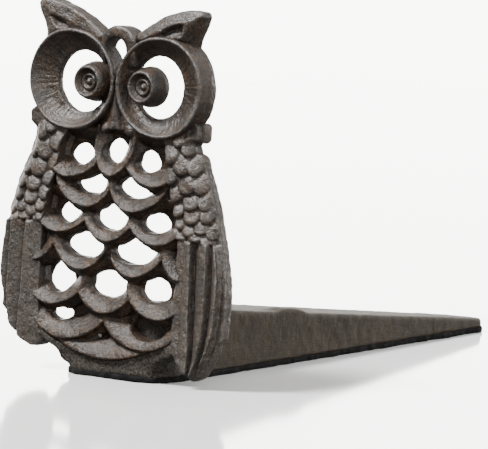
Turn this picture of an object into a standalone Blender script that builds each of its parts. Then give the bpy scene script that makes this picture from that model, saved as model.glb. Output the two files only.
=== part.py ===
"""Cast-iron door stop: an openwork owl standing on the thick end of a hollow wedge.

The owl faces -Y and the wedge tapers away towards +Y. The origin is under the middle of the
whole object, on the floor. All sizes below are in millimetres and are scaled to metres when a
mesh is made. "Depth" is the distance behind the frontmost plane of the owl.
"""
import math

import bmesh
import bpy

MM = 0.001

# Whole object
LENGTH = 172.5
GAP = 0.3                      # left between touching pieces
CUT_PAST = 1.0                 # how far a cutter runs past the face it opens
WELD = 0.00001                 # metres, joins a curve's caps to its sides

# Figure: depths of its layers
FIGURE_BACK = 6.3
RELIEF_FRONT = 0.5             # crests of the eye rings and the fretwork
EAR_FRONT = 1.7
EAR_HOLLOW_DEPTH = 2.0
WING_FRONT = 1.2
PUPIL_FRONT = 0.0

# Eye rings
RING_X = 13.3
RING_Z = 73.7
RING_R = 13.0
RING_SQUASH = 0.96             # height over width
RING_CREST_R = 12.3
RING_MOUTH_R = 11.4
RING_HOLE_R = 7.7
RING_STEPS = 48

# Pupils
PUPIL_X = 8.4
PUPIL_Z = 73.5
PUPIL_FRONT_R = 4.0
PUPIL_BACK_R = 4.9
PUPIL_BACK = 5.3
PUPIL_BOSS_R = 0.9
PUPIL_GROOVE_R = 2.3
PUPIL_GROOVE = 0.9             # depth of the groove round the boss
PUPIL_CHAMFER = 0.4
PUPIL_STEPS = 32

# Hanging loop between the ears
LOOP_HOLE_Z = 82.1
LOOP_HOLE_R = 3.2
LOOP_TOP = 88.3

# Fretwork and skirt of the breast
BREAST_TOP = 61.0
BEAK_BOTTOM = 61.3

# Wedge
NOSE_DEPTH = 1.94
NOSE_HALF_WIDTH = 16.8
TAIL_HALF_WIDTH = 6.7
NOSE_CORNER_R = 8.4
TAIL_CORNER_R = 5.5
NOSE_HEIGHT = 19.7
TAIL_HEIGHT = 3.6
WEDGE_WALL = 4.0
CAVITY_END_DEPTH = 122.0
SLOPE_CUTTER_SIZE = 400.0
PAD_THICKNESS = 1.5
PAD_INSET = 0.3

# Fixings, one each side of the middle
FIXING_X = 5.2
FIXING_Z = 10.4
BORE_STEPS = 24
FIXING_STEPS = 28
SCREW_R = 1.9
TAPPED_R = 2.2
TAPPED_BOTTOM = 2.6            # depth at which the blind hole ends
CLEARANCE_R = 2.4
SCREW_HEAD_R = 3.6
SCREW_HEAD_HEIGHT = 2.4
SLOT_WIDTH = 1.0
SLOT_DEPTH = 1.1
WASHER_R = 3.6
WASHER_THICKNESS = 1.0
WASHER_SLIT = 0.8

IRON = (0.072, 0.055, 0.045)
IRON_LIGHT = (0.095, 0.078, 0.068)
STEEL = (0.05, 0.05, 0.052)
PAD_BLACK = (0.012, 0.012, 0.013)


# ---------------------------------------------------------------- scene and materials

def clear_scene():
    for item in list(bpy.data.objects):
        bpy.data.objects.remove(item, do_unlink=True)


def new_collection(name):
    collection = bpy.data.collections.new(name)
    bpy.context.scene.collection.children.link(collection)
    return collection


def new_material(name, colour, roughness, metallic):
    made = bpy.data.materials.new(name)
    made.use_nodes = True
    shader = made.node_tree.nodes["Principled BSDF"]
    shader.inputs["Base Color"].default_value = (*colour, 1.0)
    shader.inputs["Roughness"].default_value = roughness
    shader.inputs["Metallic"].default_value = metallic
    return made


def depth_to_y(depth):
    return depth - LENGTH / 2


# ---------------------------------------------------------------- outlines, in X and Z

def smooth_curve(points, steps=4, closed=False):
    """Points of a Catmull-Rom curve through the given points."""
    count = len(points)
    spans = count if closed else count - 1
    result = []
    for index in range(spans):
        if closed:
            before = points[index - 1]
            after = points[(index + 2) % count]
        else:
            before = points[max(index - 1, 0)]
            after = points[min(index + 2, count - 1)]
        start = points[index]
        end = points[(index + 1) % count]
        for step in range(steps):
            t = step / steps
            result.append(tuple(
                0.5 * (2 * b + (c - a) * t + (2 * a - 5 * b + 4 * c - d) * t * t
                       + (3 * b - a - 3 * c + d) * t ** 3)
                for a, b, c, d in zip(before, start, end, after)))
    if not closed:
        result.append(tuple(points[-1]))
    return result


def mirrored(points):
    """The same outline on the other side of the middle plane."""
    return [(-x, z) for x, z in reversed(points)]


def ring_arc(start_degrees, end_degrees, radius, steps=10):
    """Arc round the right eye's centre, squashed in height as the rings are."""
    points = []
    for step in range(steps + 1):
        angle = math.radians(start_degrees + (end_degrees - start_degrees) * step / steps)
        points.append((RING_X + radius * math.cos(angle),
                       RING_Z + radius * RING_SQUASH * math.sin(angle)))
    return points


def ear_outline():
    """Right ear: a swept tuft that stands on the upper arc of its eye ring."""
    crest = [(4.6, 86.3), (6.8, 88.5), (11.3, 91.1), (16.5, 92.7), (21.6, 93.0),
             (24.4, 92.3), (24.9, 91.5)]
    flank = [(24.4, 89.6), (23.3, 87.2), (23.0, 84.6)]
    seat = ring_arc(48, 126, RING_R + GAP)
    return smooth_curve(crest, 3) + flank + seat


def ear_hollow_outline():
    return smooth_curve([(11.5, 88.2), (15.5, 89.9), (19.8, 90.6), (21.4, 89.6), (19.8, 88.4),
                         (15.5, 87.6)], 3, closed=True)


def loop_outline():
    """Arch over the hanging hole, with its feet on the two eye rings."""
    crown = smooth_curve([(0.0, LOOP_TOP), (2.6, LOOP_TOP - 0.6), (4.2, LOOP_TOP - 2.0)], 3)
    foot = [(4.9, 84.8)] + ring_arc(129, 132, RING_R + GAP, 1)
    inner = []
    steps = 7
    for step in range(steps + 1):
        angle = math.radians(20 + 70 * step / steps)
        inner.append((LOOP_HOLE_R * math.cos(angle), LOOP_HOLE_Z + LOOP_HOLE_R * math.sin(angle)))
    right = crown[1:] + foot + inner[:-1]
    return [crown[0]] + right + [inner[-1]] + mirrored(right)


def beak_outline():
    """The gap between the two rings, widening downwards."""
    side = ring_arc(197, 240, RING_R + GAP, 8)
    foot = [(6.0, 61.9), (4.6, BEAK_BOTTOM), (1.6, BEAK_BOTTOM + 0.2)]
    right = side + foot
    return right + mirrored(right)


WING_INNER_EDGE = [(15.4, 60.2), (16.6, 57.4), (17.2, 54.5), (17.6, 51.5), (18.6, 48.0),
                   (20.2, 42.5), (21.2, 36.5), (21.4, 26.0), (21.3, 16.0), (21.4, 10.0)]
WING_OUTER_EDGE = [(26.3, 65.0), (26.3, 62.2), (24.9, 60.2), (25.7, 56.0), (27.9, 50.5),
                   (30.2, 45.2), (31.9, 40.0), (33.3, 32.5), (34.2, 24.5), (33.6, 18.5),
                   (31.9, 12.8), (29.4, 8.6), (26.6, 5.6), (24.7, 4.8)]


FEATHER_GROOVES = [[(25.0, 37.5), (25.9, 24.0), (25.3, 9.0)],
                   [(29.6, 38.0), (30.6, 24.0), (29.0, 12.0)]]
FEATHER_GROOVE_WIDTH = 0.9
FEATHER_GROOVE_DEPTH = 1.2


def wing_outline():
    """Right wing: shoulder under the eye ring, long feathers down to a rounded tip."""
    top = ring_arc(-80, -38, RING_R + GAP, 8)
    outer = smooth_curve(WING_OUTER_EDGE, 2)
    tip = [(22.7, 6.0), (21.7, 8.0)]
    inner = list(reversed(smooth_curve(WING_INNER_EDGE, 2)))
    return top + outer + tip + inner


def skirt_hem(drop=0.0):
    """Lower edge of the breast, from the right wing's edge to the middle."""
    points = [(20.9, 11.6), (17.6, 9.0), (12.6, 7.6), (8.5, 7.2), (4.5, 5.0), (0.0, 4.0)]
    return smooth_curve([(x, z - drop) for x, z in points], 2)


def breast_outline():
    """Breast from the eye rings to the skirt, between the wings."""
    neck = ring_arc(-116, -84, RING_R + GAP, 4)
    side = smooth_curve([(x - GAP, z) for x, z in WING_INNER_EDGE], 2)
    collar = [(4.9, BREAST_TOP - 0.1), (6.5, BREAST_TOP + 0.6)]
    right = collar + neck + side + skirt_hem()[:-1]
    top = [(0.0, BREAST_TOP)]
    foot = [skirt_hem()[-1]]
    return top + right + foot + mirrored(right)


def fret_hole(centre_x, bottom, side, top, half_width, steps=6):
    """One opening under a scale: round below, drawn up to a point above."""
    points = []
    for step in range(2 * steps + 1):
        angle = math.pi * step / (2 * steps)
        points.append((centre_x - half_width * math.cos(angle),
                       side - (side - bottom) * math.sin(angle)))
    for sign in (1, -1):
        order = range(1, 4) if sign > 0 else range(2, -1, -1)
        for step in order:
            share = step / 3
            reach = half_width * (1 - share) * (1 - 0.35 * share)
            points.append((centre_x + sign * reach, side + (top - side) * share))
    return points[:-1]


# centre x, bottom, side, top, half width; a centre off the middle is repeated on the left
FRET_HOLES = [
    (0.0, 53.2, 57.0, 59.8, 4.7),
    (10.7, 52.4, 55.5, 58.4, 4.7),
    (6.9, 45.9, 49.2, 52.0, 6.0),
    (0.0, 37.4, 41.2, 45.4, 6.2),
    (13.9, 37.8, 40.6, 43.6, 5.1),
    (8.4, 29.4, 33.0, 36.4, 6.7),
    (0.0, 20.7, 24.6, 28.6, 6.9),
    (14.9, 21.0, 24.6, 28.4, 5.3),
    (15.4, 12.9, 15.0, 17.6, 3.9),
]


def fret_openings():
    holes = []
    for centre_x, bottom, side, top, half_width in FRET_HOLES:
        hole = fret_hole(centre_x, bottom, side, top, half_width)
        holes.append(hole)
        if centre_x:
            holes.append(mirrored(hole))
    return holes


# ---------------------------------------------------------------- meshes

def finish_mesh(data, material):
    bm = bmesh.new()
    bm.from_mesh(data)
    bmesh.ops.remove_doubles(bm, verts=bm.verts, dist=WELD)
    bmesh.ops.recalc_face_normals(bm, faces=bm.faces)
    bm.to_mesh(data)
    bm.free()
    data.materials.clear()
    data.materials.append(material)
    data.shade_smooth()
    data.set_sharp_from_angle(angle=math.radians(32))


def add_object(name, data, collection):
    made = bpy.data.objects.new(name, data)
    collection.objects.link(made)
    return made


def plate(name, loops, front, back, material, collection):
    """Flat piece in the X-Z plane with its outline and holes, between two depths."""
    curve = bpy.data.curves.new(name, "CURVE")
    curve.dimensions = "2D"
    curve.fill_mode = "BOTH"
    curve.extrude = (back - front) / 2 * MM
    for loop in loops:
        spline = curve.splines.new("POLY")
        spline.points.add(len(loop) - 1)
        for point, (x, z) in zip(spline.points, loop):
            point.co = (x * MM, z * MM, 0.0, 1.0)
        spline.use_cyclic_u = True
    guide = add_object(name + "_outline", curve, collection)
    guide.rotation_euler = (math.pi / 2, 0.0, 0.0)
    guide.location.y = depth_to_y((front + back) / 2) * MM
    made = mesh_from_curve(name, guide, collection)
    finish_mesh(made.data, material)
    return made


def mesh_from_curve(name, guide, collection):
    bpy.context.view_layer.update()
    evaluated = guide.evaluated_get(bpy.context.evaluated_depsgraph_get())
    data = bpy.data.meshes.new_from_object(evaluated)
    made = add_object(name, data, collection)
    made.matrix_world = guide.matrix_world
    bpy.data.objects.remove(guide, do_unlink=True)
    return made


def floor_plate(name, loop, low, high, material, collection):
    """Flat piece lying in the X-Y plane, between two heights. The loop is in X and depth."""
    curve = bpy.data.curves.new(name, "CURVE")
    curve.dimensions = "2D"
    curve.fill_mode = "BOTH"
    curve.extrude = (high - low) / 2 * MM
    spline = curve.splines.new("POLY")
    spline.points.add(len(loop) - 1)
    for point, (x, depth) in zip(spline.points, loop):
        point.co = (x * MM, depth_to_y(depth) * MM, 0.0, 1.0)
    spline.use_cyclic_u = True
    guide = add_object(name + "_outline", curve, collection)
    guide.location.z = (low + high) / 2 * MM
    made = mesh_from_curve(name, guide, collection)
    finish_mesh(made.data, material)
    return made


def turned(name, profile, x, z, steps, material, collection, closed=False):
    """Solid of revolution about an axis along Y. The profile is (radius, depth) pairs."""
    data = bpy.data.meshes.new(name)
    verts = [(radius * MM, 0.0, -depth_to_y(depth) * MM) for radius, depth in profile]
    edges = [(index, index + 1) for index in range(len(verts) - 1)]
    if closed:
        edges.append((len(verts) - 1, 0))
    data.from_pydata(verts, edges, [])
    data.materials.append(material)
    made = add_object(name, data, collection)
    made.rotation_euler = (math.pi / 2, 0.0, 0.0)
    made.location = (x * MM, 0.0, z * MM)
    screw = made.modifiers.new("turn", "SCREW")
    screw.axis = "Z"
    screw.steps = steps
    screw.render_steps = steps
    screw.use_merge_vertices = True
    screw.merge_threshold = 0.00001
    screw.use_smooth_shade = True
    return made


def box(name, low, high, collection):
    """Box between two corners given as (x, depth, z)."""
    data = bpy.data.meshes.new(name)
    bm = bmesh.new()
    bmesh.ops.create_cube(bm, size=1.0)
    bm.to_mesh(data)
    bm.free()
    made = add_object(name, data, collection)
    made.location = ((low[0] + high[0]) / 2 * MM, depth_to_y((low[1] + high[1]) / 2) * MM,
                     (low[2] + high[2]) / 2 * MM)
    made.scale = tuple((top - bottom) * MM for bottom, top in zip(low, high))
    return made


def cut(target, cutter):
    cutter.hide_render = True
    cutter.display_type = "WIRE"
    modifier = target.modifiers.new("cut_" + cutter.name, "BOOLEAN")
    modifier.operation = "DIFFERENCE"
    modifier.object = cutter


# ---------------------------------------------------------------- the figure

def ring_profile():
    return [(RING_CREST_R, RELIEF_FRONT), (RING_R, RELIEF_FRONT + 0.9), (RING_R, FIGURE_BACK),
            (RING_HOLE_R, FIGURE_BACK), (RING_HOLE_R, FIGURE_BACK - 0.6),
            (RING_MOUTH_R, RELIEF_FRONT + 0.5), (RING_MOUTH_R + 0.4, RELIEF_FRONT)]


def pupil_profile():
    """Stepped button: raised rim, inner groove and a central boss."""
    front = PUPIL_FRONT
    groove = front + PUPIL_GROOVE
    rim = PUPIL_FRONT_R
    return [(0.0, front + 0.3), (PUPIL_BOSS_R, front + 0.3), (PUPIL_BOSS_R + 0.2, groove),
            (PUPIL_GROOVE_R, groove), (PUPIL_GROOVE_R + 0.3, front), (rim - 0.3, front),
            (rim, front + PUPIL_CHAMFER), (PUPIL_BACK_R, PUPIL_BACK), (0.0, PUPIL_BACK)]


def pupil_seat_profile():
    """The space the pupil takes in its ring, with the gap all round."""
    front = PUPIL_FRONT - CUT_PAST
    mouth = PUPIL_FRONT_R + GAP
    floor = PUPIL_BACK_R + GAP
    return [(0.0, front), (mouth, front), (mouth, PUPIL_FRONT + PUPIL_CHAMFER),
            (floor, PUPIL_BACK), (floor, FIGURE_BACK + CUT_PAST), (0.0, FIGURE_BACK + CUT_PAST)]


def build_head(side, label, parts, cutters, iron):
    centre_x = side * RING_X
    ring = turned("eye_ring_" + label, ring_profile(), centre_x, RING_Z, RING_STEPS, iron,
                  parts, closed=True)
    ring.scale.y = RING_SQUASH
    seat = turned("pupil_seat_" + label, pupil_seat_profile(), side * PUPIL_X, PUPIL_Z,
                  PUPIL_STEPS, iron, cutters)
    cut(ring, seat)
    turned("pupil_" + label, pupil_profile(), side * PUPIL_X, PUPIL_Z, PUPIL_STEPS, iron, parts)

    outline = ear_outline()
    hollow = ear_hollow_outline()
    if side < 0:
        outline = mirrored(outline)
        hollow = mirrored(hollow)
    ear = plate("ear_" + label, [outline], EAR_FRONT, FIGURE_BACK, iron, parts)
    pocket = plate("ear_hollow_" + label, [hollow], EAR_FRONT - CUT_PAST,
                   EAR_FRONT + EAR_HOLLOW_DEPTH, iron, cutters)
    cut(ear, pocket)


def build_wing(side, label, parts, cutters, iron):
    outline = wing_outline() if side > 0 else mirrored(wing_outline())
    wing = plate("wing_" + label, [outline], WING_FRONT, FIGURE_BACK, iron, parts)
    for number, groove in enumerate(FEATHER_GROOVES):
        centre = smooth_curve(groove, 4)
        half = FEATHER_GROOVE_WIDTH / 2
        left = [(side * (x - half), z) for x, z in centre]
        right = [(side * (x + half), z) for x, z in reversed(centre)]
        cutter = plate("feather_groove_%s_%d" % (label, number), [left + right],
                       WING_FRONT - CUT_PAST, WING_FRONT + FEATHER_GROOVE_DEPTH, iron, cutters)
        cut(wing, cutter)


def build_breast(parts, cutters, iron):
    breast = plate("breast_fretwork", [breast_outline()] + fret_openings(), RELIEF_FRONT,
                   FIGURE_BACK, iron, parts)
    for side, label in ((1, "right"), (-1, "left")):
        end = FIGURE_BACK + CUT_PAST
        profile = [(0.0, TAPPED_BOTTOM), (TAPPED_R, TAPPED_BOTTOM), (TAPPED_R, end), (0.0, end)]
        tapped = turned("tapped_hole_" + label, profile, side * FIXING_X, FIXING_Z,
                        BORE_STEPS, iron, cutters)
        cut(breast, tapped)


# ---------------------------------------------------------------- the wedge and its pad

def half_width(depth):
    share = (depth - NOSE_DEPTH) / (LENGTH - NOSE_DEPTH)
    return NOSE_HALF_WIDTH + (TAIL_HALF_WIDTH - NOSE_HALF_WIDTH) * share


def wedge_plan(inset=0.0, start=NOSE_DEPTH, end=LENGTH):
    """Plan of the wedge in X and depth: rounded nose and tail, tapering sides."""
    near = start + inset
    far = end - inset
    nose_r = NOSE_CORNER_R - inset
    tail_r = TAIL_CORNER_R - inset
    steps = 6
    right = []
    for step in range(steps + 1):
        angle = math.pi / 2 * step / steps
        x = half_width(near + nose_r) - inset - nose_r * (1 - math.sin(angle))
        right.append((x, near + nose_r * (1 - math.cos(angle))))
    for step in range(steps + 1):
        angle = math.pi / 2 * step / steps
        x = half_width(far - tail_r) - inset - tail_r * (1 - math.cos(angle))
        right.append((x, far - tail_r * (1 - math.sin(angle))))
    left = [(-x, depth) for x, depth in reversed(right)]
    return right + left


def slope_cutter(name, drop, collection):
    """Everything above the wedge's sloping top, or above a plane a little under it."""
    rise = NOSE_HEIGHT - TAIL_HEIGHT
    run = LENGTH - NOSE_DEPTH
    tilt = math.atan2(rise, run)
    size = SLOPE_CUTTER_SIZE
    data = bpy.data.meshes.new(name)
    bm = bmesh.new()
    bmesh.ops.create_cube(bm, size=size * MM)
    bm.to_mesh(data)
    bm.free()
    made = add_object(name, data, collection)
    middle = (NOSE_HEIGHT + TAIL_HEIGHT) / 2 - drop
    centre_y = depth_to_y((NOSE_DEPTH + LENGTH) / 2)
    made.rotation_euler = (-tilt, 0.0, 0.0)
    made.location = (0.0, (centre_y + size / 2 * math.sin(tilt)) * MM,
                     (middle + size / 2 * math.cos(tilt)) * MM)
    return made


def figure_rebate(cutters, iron):
    """The space the owl's skirt takes in the nose of the wedge."""
    hem = skirt_hem(GAP)
    above = NOSE_HEIGHT + 3.0
    beside = NOSE_HALF_WIDTH + 5.2
    top = [(0.0, above), (beside, above), (beside, 11.6)]
    right = top[1:] + hem[:-1]
    loop = [top[0]] + right + [hem[-1]] + mirrored(right)
    return plate("skirt_rebate", [loop], -2.0, FIGURE_BACK + GAP, iron, cutters)


def build_wedge(parts, cutters, iron):
    floor = PAD_THICKNESS + GAP
    wedge = floor_plate("wedge", wedge_plan(), floor, NOSE_HEIGHT + 2.0, iron, parts)
    cut(wedge, slope_cutter("slope", 0.0, cutters))
    cut(wedge, figure_rebate(cutters, iron))

    front_wall = FIGURE_BACK + GAP + WEDGE_WALL
    cavity = floor_plate("cavity", wedge_plan(WEDGE_WALL, front_wall - WEDGE_WALL,
                                              CAVITY_END_DEPTH), 0.0, NOSE_HEIGHT, iron, cutters)
    cut(cavity, slope_cutter("cavity_roof", WEDGE_WALL, cutters))
    cut(wedge, cavity)
    for side, label in ((1, "right"), (-1, "left")):
        start = FIGURE_BACK - CUT_PAST
        end = front_wall + CUT_PAST
        profile = [(0.0, start), (CLEARANCE_R, start), (CLEARANCE_R, end), (0.0, end)]
        hole = turned("fixing_hole_" + label, profile, side * FIXING_X, FIXING_Z, BORE_STEPS,
                      iron, cutters)
        cut(wedge, hole)


def build_pad(parts, black):
    floor_plate("base_pad", wedge_plan(PAD_INSET), 0.0, PAD_THICKNESS, black, parts)


# ---------------------------------------------------------------- hidden fixings

def build_fixing(side, label, parts, cutters, steel):
    x = side * FIXING_X
    seat = FIGURE_BACK + GAP + WEDGE_WALL + GAP
    washer_back = seat + WASHER_THICKNESS
    washer = turned("spring_washer_" + label,
                    [(WASHER_R, seat), (WASHER_R, washer_back), (CLEARANCE_R, washer_back),
                     (CLEARANCE_R, seat)], x, FIXING_Z, FIXING_STEPS, steel, parts, closed=True)
    slit = box("washer_slit_" + label, (x - WASHER_SLIT / 2, seat - CUT_PAST, FIXING_Z),
               (x + WASHER_SLIT / 2, washer_back + CUT_PAST, FIXING_Z + WASHER_R + CUT_PAST),
               cutters)
    cut(washer, slit)

    head = washer_back + GAP
    top = head + SCREW_HEAD_HEIGHT
    tip = TAPPED_BOTTOM + GAP
    screw = turned("fixing_screw_" + label,
                   [(0.0, tip), (SCREW_R - 0.5, tip), (SCREW_R, tip + 0.6), (SCREW_R, head),
                    (SCREW_HEAD_R, head), (SCREW_HEAD_R, top - 0.9), (SCREW_HEAD_R - 1.0, top),
                    (0.0, top)], x, FIXING_Z, FIXING_STEPS, steel, parts)
    reach = SCREW_HEAD_R + CUT_PAST
    slot = box("screw_slot_" + label,
               (x - reach, top - SLOT_DEPTH, FIXING_Z - SLOT_WIDTH / 2),
               (x + reach, top + CUT_PAST, FIXING_Z + SLOT_WIDTH / 2), cutters)
    cut(screw, slot)


def main():
    clear_scene()
    parts = new_collection("door_stop")
    cutters = new_collection("cutters")
    iron = new_material("cast_iron", IRON, 0.62, 0.7)
    iron_wedge = new_material("cast_iron_wedge", IRON, 0.7, 0.6)
    iron_light = new_material("cast_iron_worn", IRON_LIGHT, 0.55, 0.7)
    steel = new_material("steel", STEEL, 0.45, 1.0)
    black = new_material("pad_black", PAD_BLACK, 0.95, 0.0)
    for side, label in ((1, "right"), (-1, "left")):
        build_head(side, label, parts, cutters, iron)
        build_wing(side, label, parts, cutters, iron_light)
        build_fixing(side, label, parts, cutters, steel)
    plate("hanging_loop", [loop_outline()], EAR_FRONT, FIGURE_BACK, iron, parts)
    plate("beak", [beak_outline()], RELIEF_FRONT, FIGURE_BACK, iron, parts)
    build_breast(parts, cutters, iron)
    build_wedge(parts, cutters, iron_wedge)
    build_pad(parts, black)


main()
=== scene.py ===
"""Looks of a cast-iron door stop: an openwork owl standing on the thick end of a wedge.

Every casting is made as a solid field on a fine grid and meshed from it, so that scales,
feathers and openings run into each other as they do in a sand casting. Sizes are in
millimetres. "Depth" is the distance behind the frontmost plane of the owl.
"""

import math

import bpy
import numpy as np
from mathutils import Matrix, Vector


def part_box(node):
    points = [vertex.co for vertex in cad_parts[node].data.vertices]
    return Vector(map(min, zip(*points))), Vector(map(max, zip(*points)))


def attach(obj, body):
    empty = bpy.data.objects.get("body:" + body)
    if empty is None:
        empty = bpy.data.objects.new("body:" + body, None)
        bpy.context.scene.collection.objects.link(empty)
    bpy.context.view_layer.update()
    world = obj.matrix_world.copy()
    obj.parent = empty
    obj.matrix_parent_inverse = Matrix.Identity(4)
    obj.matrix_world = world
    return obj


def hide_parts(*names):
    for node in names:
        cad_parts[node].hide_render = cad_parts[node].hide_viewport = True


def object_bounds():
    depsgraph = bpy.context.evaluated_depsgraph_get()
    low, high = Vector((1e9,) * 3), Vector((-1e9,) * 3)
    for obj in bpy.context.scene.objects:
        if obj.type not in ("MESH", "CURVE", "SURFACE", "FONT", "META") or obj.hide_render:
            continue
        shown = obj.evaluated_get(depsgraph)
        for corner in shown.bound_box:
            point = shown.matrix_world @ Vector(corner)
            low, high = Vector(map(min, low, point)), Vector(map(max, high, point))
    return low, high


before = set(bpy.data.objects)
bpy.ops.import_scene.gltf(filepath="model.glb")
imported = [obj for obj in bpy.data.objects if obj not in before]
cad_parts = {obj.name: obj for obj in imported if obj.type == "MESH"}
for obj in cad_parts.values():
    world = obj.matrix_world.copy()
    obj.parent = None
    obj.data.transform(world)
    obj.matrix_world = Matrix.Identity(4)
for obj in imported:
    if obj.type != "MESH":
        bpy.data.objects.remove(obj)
cad_low, cad_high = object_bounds()

MM = 0.001
FRONT = cad_low.y / MM         # Y of depth zero
TILT = math.radians(1.5)       # the owl stands this much out of true on its wedge
TILT_Z = 78.0                  # height it turns about

SIDES = ((1, "right"), (-1, "left"))

# Grid steps, as fine as each piece needs
HEAD_STEP = 0.26
PUPIL_STEP = 0.20
BREAST_STEP = 0.30
WING_STEP = 0.27
WEDGE_STEP = 0.42
PAD_STEP = 0.38

# Sizes of the lumps of the sand-cast skin
COARSE_LUMP = 2.6
FINE_LUMP = 0.95

RELIEF_ROUNDS = 10             # smoothing that tells crests from hollows


# ---------------------------------------------------------------- frame

def box_mm(node):
    """Corners of a CAD node as (x, depth, z)."""
    low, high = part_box(node)
    shift = Vector((0.0, FRONT, 0.0))
    return Vector(low) / MM - shift, Vector(high) / MM - shift


RING_LOW, RING_HIGH = box_mm("eye_ring_right")
RING_X = (RING_LOW.x + RING_HIGH.x) / 2
RING_Z = (RING_LOW.z + RING_HIGH.z) / 2
RING_R = (RING_HIGH.x - RING_LOW.x) / 2
RING_SQUASH = (RING_HIGH.z - RING_LOW.z) / (RING_HIGH.x - RING_LOW.x)
BACK = RING_HIGH.y

OVERLAP = 1.9                  # how far neighbours run in under the eye rings
RIM_FRONT = 0.5                # depth of the rims' crests
RIM_WIDTH = 0.55               # half width of the rolled rim
THROAT = 4.0                   # depth of the funnel at its opening
RING_HOLE_R = 7.6

PUPIL_LOW, PUPIL_HIGH = box_mm("pupil_right")
PUPIL_X = (PUPIL_LOW.x + PUPIL_HIGH.x) / 2
PUPIL_Z = (PUPIL_LOW.z + PUPIL_HIGH.z) / 2
PUPIL_R = (PUPIL_HIGH.x - PUPIL_LOW.x) / 2
PUPIL_BACK = PUPIL_HIGH.y
PUPIL_TAPER = 0.95             # how much smaller the button is in front
PUPIL_RING_R = 1.75            # second ring, inside the rim

WEDGE_LOW, WEDGE_HIGH = box_mm("wedge")
PAD_LOW, PAD_HIGH = box_mm("base_pad")


# ---------------------------------------------------------------- fields

def smooth_max(a, b, radius):
    """The larger of two fields, with their meeting rounded."""
    mix = np.clip(0.5 + 0.5 * (a - b) / radius, 0.0, 1.0)
    return b * (1.0 - mix) + a * mix + radius * mix * (1.0 - mix)


def smooth_min(a, b, radius):
    return -smooth_max(-a, -b, radius)


def smooth_step(low, high, value):
    t = np.clip((value - low) / (high - low), 0.0, 1.0)
    return t * t * (3.0 - 2.0 * t)


def outline_distance(x, z, points):
    """Signed distance to a closed outline, negative inside."""
    nearest = np.full(np.broadcast(x, z).shape, 1e9, dtype=np.float32)
    inside = np.zeros(nearest.shape, dtype=bool)
    count = len(points)
    for index in range(count):
        ax, az = points[index]
        bx, bz = points[(index + 1) % count]
        ex, ez = bx - ax, bz - az
        length = ex * ex + ez * ez
        if length == 0.0:
            continue
        t = np.clip(((x - ax) * ex + (z - az) * ez) / length, 0.0, 1.0)
        gap = (x - ax - t * ex) ** 2 + (z - az - t * ez) ** 2
        nearest = np.minimum(nearest, gap)
        if az != bz:
            crosses = ((az > z) != (bz > z)) & (x < ex * (z - az) / ez + ax)
            inside ^= crosses
    distance = np.sqrt(nearest)
    return np.where(inside, -distance, distance)


def noise(shape, step, size, seed):
    """Smooth random field between about -1 and 1 with lumps of the given size."""
    rng = np.random.default_rng(seed)
    weights = []
    counts = []
    for count in shape:
        place = np.arange(count) * step / size
        cell = np.floor(place).astype(int)
        t = place - cell
        t = t * t * (3.0 - 2.0 * t)
        coarse = cell[-1] + 2
        weight = np.zeros((count, coarse), dtype=np.float32)
        weight[np.arange(count), cell] = 1.0 - t
        weight[np.arange(count), cell + 1] += t
        weights.append(weight)
        counts.append(coarse)
    lattice = rng.uniform(-1.0, 1.0, counts).astype(np.float32)
    field = np.tensordot(weights[0], lattice, axes=(1, 0))
    field = np.tensordot(field, weights[1], axes=(1, 1)).transpose(0, 2, 1)
    return np.tensordot(field, weights[2], axes=(2, 1))


def curve(points, steps=4, closed=False):
    """Points of a Catmull-Rom curve through the given points."""
    count = len(points)
    spans = count if closed else count - 1
    result = []
    for index in range(spans):
        if closed:
            before = points[index - 1]
            after = points[(index + 2) % count]
        else:
            before = points[max(index - 1, 0)]
            after = points[min(index + 2, count - 1)]
        start = points[index]
        end = points[(index + 1) % count]
        for step in range(steps):
            t = step / steps
            result.append(tuple(
                0.5 * (2 * b + (c - a) * t + (2 * a - 5 * b + 4 * c - d) * t * t
                       + (3 * b - a - 3 * c + d) * t ** 3)
                for a, b, c, d in zip(before, start, end, after)))
    if not closed:
        result.append(tuple(points[-1]))
    return result


def along(z, points):
    """Value read off a line through (z, value) points, smoothed at the joints."""
    points = sorted(curve(points, 6))
    return np.interp(z, [p[0] for p in points], [p[1] for p in points]).astype(np.float32)


def mirrored(points):
    """The same outline on the other side of the middle."""
    return [(-x, z) for x, z in reversed(points)]


# ---------------------------------------------------------------- meshing

def grid(low, high, step):
    """Axes of a grid that holds the box with a margin."""
    axes = []
    for a, b in zip(low, high):
        start = a - 2.5 * step
        count = int(math.ceil((b - a) / step)) + 6
        axes.append((start + np.arange(count) * step).astype(np.float32))
    return axes


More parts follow.
